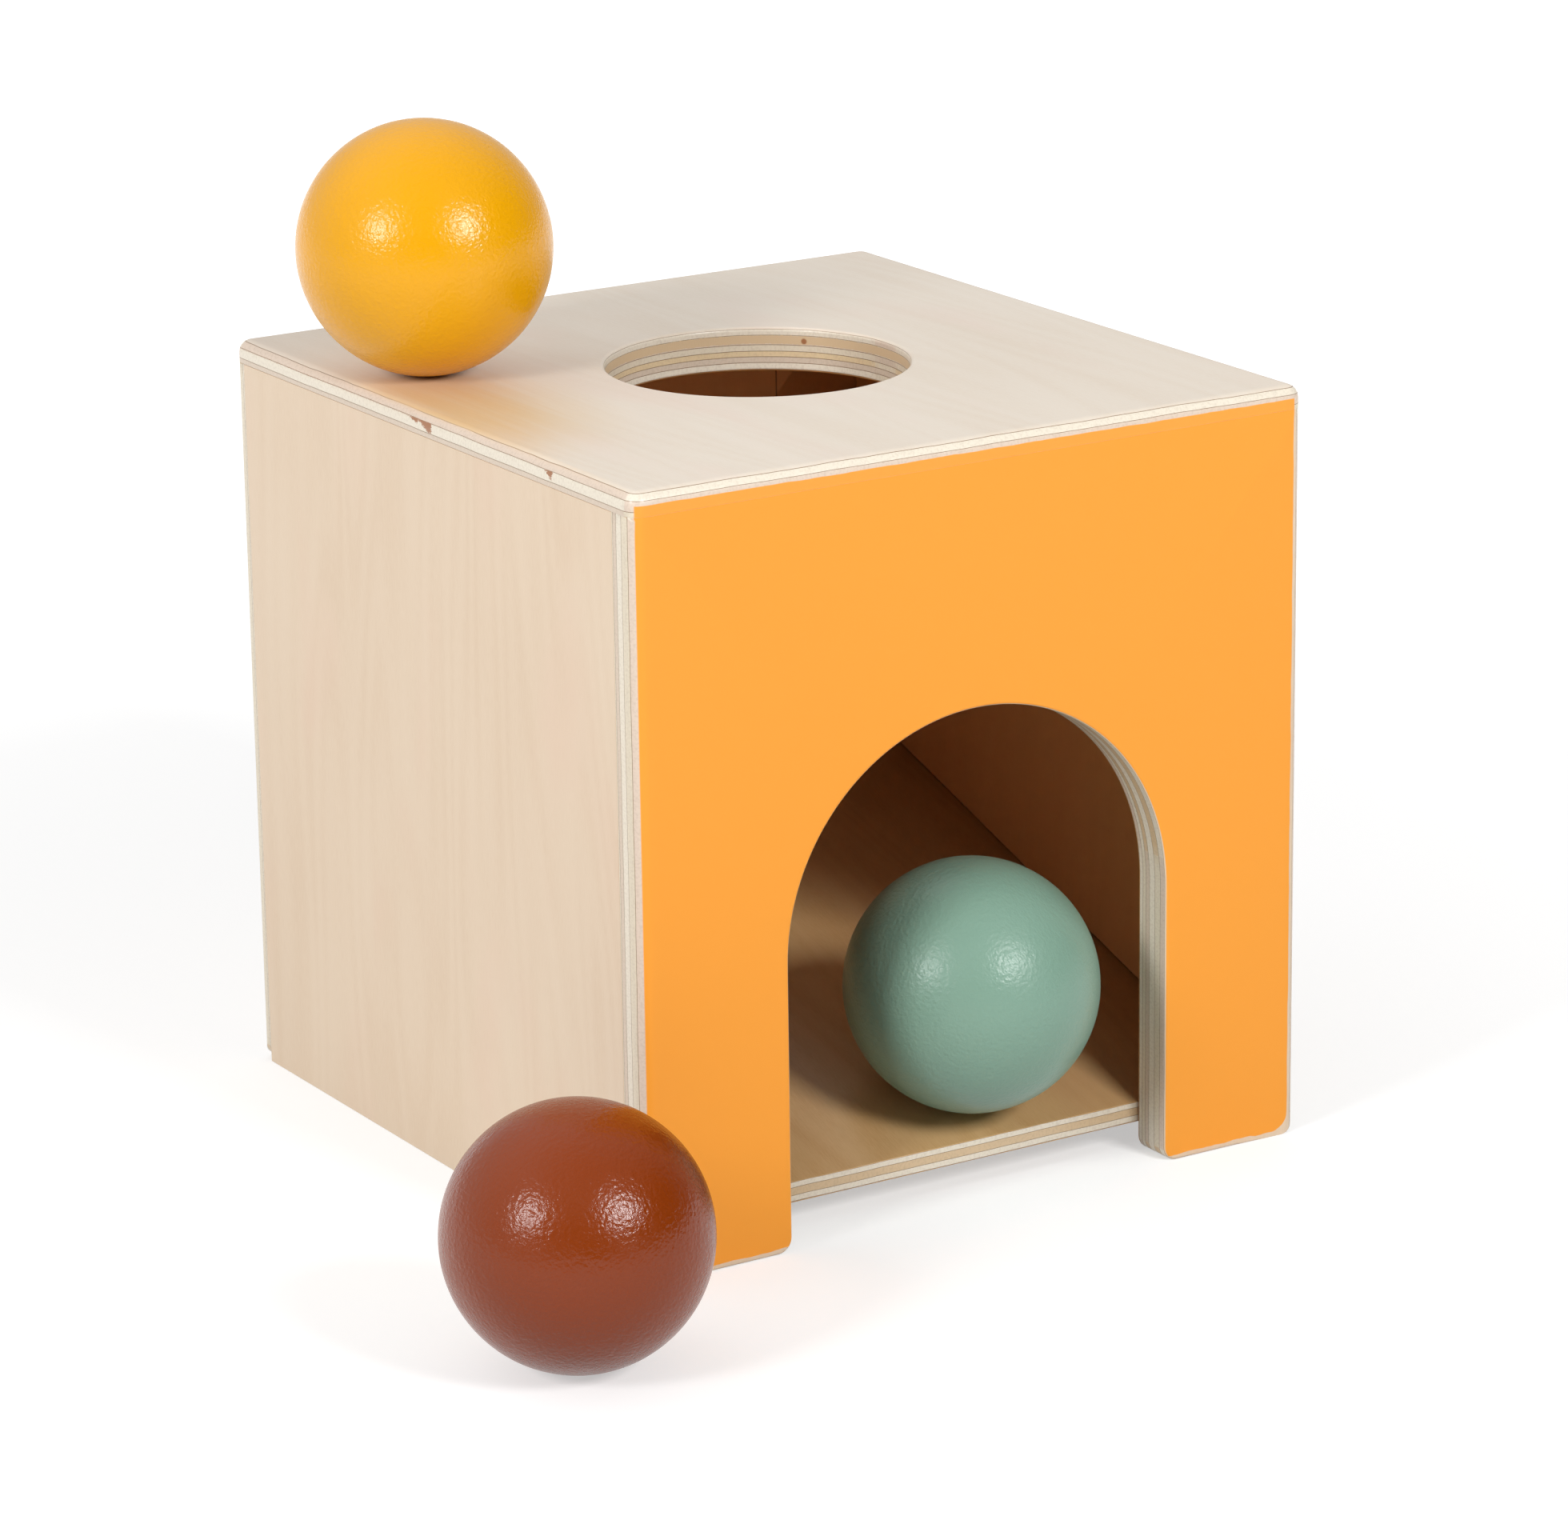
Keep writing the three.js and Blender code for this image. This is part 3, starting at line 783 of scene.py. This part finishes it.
def painted_front(name, *cut):
    """The front: plywood with orange paint."""
    material, tree, place = start(name)
    wood = plywood(tree, place, *cut)
    surface(tree, *orange_paint(tree, place, wood), WOOD_RELIEF, PAINT_SPECULAR)
    return material


def marked_top_with_bounce_light(name, *cut):
    """The top: plywood with its marks and painted bounce light from the yellow ball, and with the upper end
    of the orange paint on its front edge.
    """
    material, tree, place = start(name)
    colour, roughness, relief = plywood(tree, place, *cut)
    wood = top_marks_and_bounce_light(tree, place, colour), roughness, relief
    surface(tree, *orange_paint(tree, place, wood), WOOD_RELIEF, WOOD_SPECULAR)
    return material


# Ball paint: satin enamel dipped over turned wood. It has a leathery peel with fine wrinkles that break up
# highlights.
YELLOW = "#eca700"
GREEN = "#81a492"
BROWN = "#843403"
ENAMEL_PEEL = 0.9
ENAMEL_WRINKLES = (0.5, 1.6, 0.5)
WRINKLE_WEIGHT = 0.4
ENAMEL_RELIEF = 0.14
ENAMEL_SPECULAR = 0.38
DULL_PATCHES = 6.0  # size of duller patches, and how much duller they are
DULLER = 0.06
SHADED_PATCHES = 9.0  # size of darker patches, and how much of the colour they keep
SHADE = 0.97


def satin_enamel(name, hex_colour, dullness):
    """Enamel in a colour, with the roughness of its glossiest patches."""
    material, tree, place = start(name)
    peel = add(tree, "TexNoise", {"Vector": place, "Scale": 1 / ENAMEL_PEEL, "Detail": 2.0})
    drawn = add(tree, "VectorMath", {0: place, 1: tuple(1 / np.array(ENAMEL_WRINKLES))}, operation="MULTIPLY")
    wrinkles = add(tree, "TexNoise", {"Vector": drawn, "Scale": 1.0, "Detail": 2.0})
    relief = add(tree, "Math", {0: wrinkles, 1: WRINKLE_WEIGHT, 2: peel}, operation="MULTIPLY_ADD")
    dull = add(tree, "TexNoise", {"Vector": place, "Scale": 1 / DULL_PATCHES, "Detail": 2.0})
    roughness = add(tree, "MapRange", {0: dull, 1: 0.3, 2: 0.7, 3: dullness, 4: dullness + DULLER}, **SMOOTH)
    base = linear(hex_colour)
    shade = tuple(SHADE * channel for channel in base[:3]) + (1.0,)
    patchy = add(tree, "TexNoise", {"Vector": place, "Scale": 1 / SHADED_PATCHES, "Detail": 3.0})
    colour = add(tree, "Mix", {0: patchy, 6: base, 7: shade}, **COLOURS)
    surface(tree, colour, roughness, relief, ENAMEL_RELIEF, ENAMEL_SPECULAR)
    return material


# Pieces

top_face = (MIDDLE_X, MIDDLE_Y, TOP_Z)
front_face = (MIDDLE_X, FRONT_Y, 0)
back_face = (MIDDLE_X, BACK_Y, 0)
left_face = (LEFT_X, MIDDLE_Y, 0)
right_face = (RIGHT_X, MIDDLE_Y, 0)
ramp_face = (MIDDLE_X, ramp_low[1], ramp_height(ramp_low[1]))
up, down, forth, back, left, right = (0, 0, 1), (0, 0, -1), (0, -1, 0), (0, 1, 0), (-1, 0, 0), (1, 0, 0)
down_ramp = (0, -math.cos(RAMP_SLOPE), -math.sin(RAMP_SLOPE))
into_ramp = (0, math.sin(RAMP_SLOPE), -math.cos(RAMP_SLOPE))
# The inner tints are painted shade of the box's inside, and the ramp's tints on both its faces are painted
# shade
top_tints = (CREAM_VENEER, INSIDE_PAINTED_SHADE)
ramp_tints = (RAMP_PAINTED_SHADE, RAMP_PAINTED_SHADE)

# Each board's grid, whether its rows and its columns close in a ring, whether it has caps, its material and
# its slot
boards = {
    "top_board": (
        top_board(), (True, True), False,
        marked_top_with_bounce_light("birch_plywood_top", top_face, down, back, TOP_PLIES, top_tints), "birch_plywood",
    ),
    "front_board": (
        front_board(), (False, True), False,
        painted_front("birch_plywood_front", front_face, back, up, WALL_PLIES), "orange_painted_plywood",
    ),
    "back_board": (
        back_board(), (True, False), False,
        spliced_plywood("birch_plywood_back", back_face, forth, up, WALL_PLIES), "birch_plywood",
    ),
    "left_side": (
        side_board(left_low, left_high, 1), (False, True), True,
        bare_plywood("birch_plywood_left", left_face, right, up, SIDE_PLIES), "birch_plywood",
    ),
    "right_side": (
        side_board(right_low, right_high, -1), (False, True), True,
        bare_plywood("birch_plywood_right", right_face, left, up, SIDE_PLIES), "birch_plywood",
    ),
    "ramp_board": (
        ramp_board(), (False, True), True,
        bare_plywood(
            "birch_plywood_ramp", ramp_face, into_ramp, down_ramp, RAMP_PLIES, ramp_tints, RAMP_CONTRAST,
        ), "birch_plywood",
    ),
}
for node, (points, wrap, caps, material, slot) in boards.items():
    fit(mesh_object("plywood_" + node, points, material, wrap, caps), node, "box")

# Each ball's body, colour, dullness and seed
balls = {
    "yellow_ball": ("ball_on_top", YELLOW, 0.21, 11),
    "green_ball": ("ball_on_ramp", GREEN, 0.3, 23),
    "brown_ball": ("ball_on_table", BROWN, 0.2, 37),
}
for node, (body, hex_colour, dullness, seed) in balls.items():
    colour_name = node.split("_")[0]
    enamel = satin_enamel("satin_enamel_" + colour_name, hex_colour, dullness)
    piece = mesh_object("turned_" + node, turned_ball(node, seed), enamel, (True, False))
    fit(piece, node, body)


# Stage: a white floor that keeps soft shadows, and a pale studio all round

FLOOR_HALF = 12000.0
PAPER = (0.6, 0.6, 0.6, 1)
GLOW_REACH = (150, 1000)  # where the paper's glow starts to grow, and where it is full
GLOW = (0.49, 0.9)


def white_paper(name):
    """White paper. Seen directly or in a reflection it glows, more so far off, so that it is white up to the
    horizon."""
    material, tree, place = start(name)
    path = add(tree, "LightPath").outputs
    seen = path["Is Camera Ray"]
    for ray in ("Is Glossy Ray", "Is Transmission Ray"):
        seen = add(tree, "Math", {0: seen, 1: path[ray]}, operation="MAXIMUM")
    away = add(tree, "VectorMath", {0: place}, operation="LENGTH")
    near, far = GLOW_REACH
    glow = add(tree, "MapRange", {0: away, 1: near, 2: far, 3: GLOW[0], 4: GLOW[1]}, **SMOOTH)
    glow = add(tree, "Math", {0: seen, 1: glow}, operation="MULTIPLY")
    paper = add(tree, "BsdfDiffuse", {"Color": PAPER})
    light = add(tree, "Emission", {"Strength": glow})
    both = add(tree, "AddShader", {0: paper, 1: light})
    add(tree, "OutputMaterial", {"Surface": both})
    return material


mesh_object("paper_floor", flat_floor(FLOOR_HALF), white_paper("white_paper"))

# Light of the studio, as a sum of parts: axis of the direction, from where to where along it the part grows,
# and its strength at both
STUDIO_LIGHT = ((1, -0.4, 0.8, 0.03, 0.68), (2, 0.4, 1.0, 0.0, 0.42), (0, 0.0, -0.9, 0.0, 0.3))

world = bpy.data.worlds.new("pale_studio")
scene.world = world
world.use_nodes = True
sky = world.node_tree
sky.nodes.clear()
heading = add(sky, "SeparateXYZ", {0: add(sky, "TexCoord").outputs["Generated"]}).outputs
strength = 0.0
for axis, begin, end, least, most in STUDIO_LIGHT:
    grown = add(sky, "MapRange", {0: heading[axis], 1: begin, 2: end, 3: least, 4: most}, **SMOOTH)
    strength = add(sky, "Math", {0: grown, 1: strength}, operation="ADD")
studio = add(sky, "Background", {"Color": (1, 1, 1, 1), "Strength": strength})
add(sky, "OutputWorld", {"Surface": studio})


def softbox(name, heading, distance, size, watts):
    """A square softbox in the stated direction from the middle of the box, facing it. Metres."""
    aim = Vector((MIDDLE_X, MIDDLE_Y, TOP_Z / 2)) * MM
    away = Vector(heading).normalized()
    data = bpy.data.lights.new(name, "AREA")
    data.shape = "SQUARE"
    data.size = size
    data.energy = watts
    lamp = bpy.data.objects.new(name, data)
    lamp.location = aim + away * distance
    lamp.rotation_mode = "QUATERNION"
    lamp.rotation_quaternion = away.to_track_quat("Z", "Y")
    scene.collection.objects.link(lamp)


softbox("softbox_left", (-0.85, -0.245, 0.465), 1.48, 0.34, 8.8)
softbox("softbox_right", (0.15, -0.852, 0.502), 1.42, 0.34, 11.8)


# Camera, as in the photo: seen from the front left, a little above

PHOTO_WIDTH = 1960  # pixels
FOCAL_PIXELS = 7579.0
SENSOR = 36.0
CAMERA_PLACE = (-579.35, -962.49, 418.19)
YAW, PITCH, ROLL = (math.radians(angle) for angle in (31.751, 16.700, 0.811))

forward = np.array([math.sin(YAW) * math.cos(PITCH), math.cos(YAW) * math.cos(PITCH), -math.sin(PITCH)])
level_right = np.array([math.cos(YAW), -math.sin(YAW), 0])
level_down = np.cross(forward, level_right)
pose = np.eye(4)
pose[:3, 0] = math.cos(ROLL) * level_right + math.sin(ROLL) * level_down
pose[:3, 1] = math.sin(ROLL) * level_right - math.cos(ROLL) * level_down
pose[:3, 2] = -forward
pose[:3, 3] = np.array(CAMERA_PLACE) * MM

lens = bpy.data.cameras.new("photo_camera")
lens.sensor_width = SENSOR
lens.lens = SENSOR * FOCAL_PIXELS / PHOTO_WIDTH
camera = bpy.data.objects.new("photo_camera", lens)
camera.matrix_world = Matrix(pose.tolist())
scene.collection.objects.link(camera)
scene.camera = camera
scene.view_settings.view_transform = "Standard"
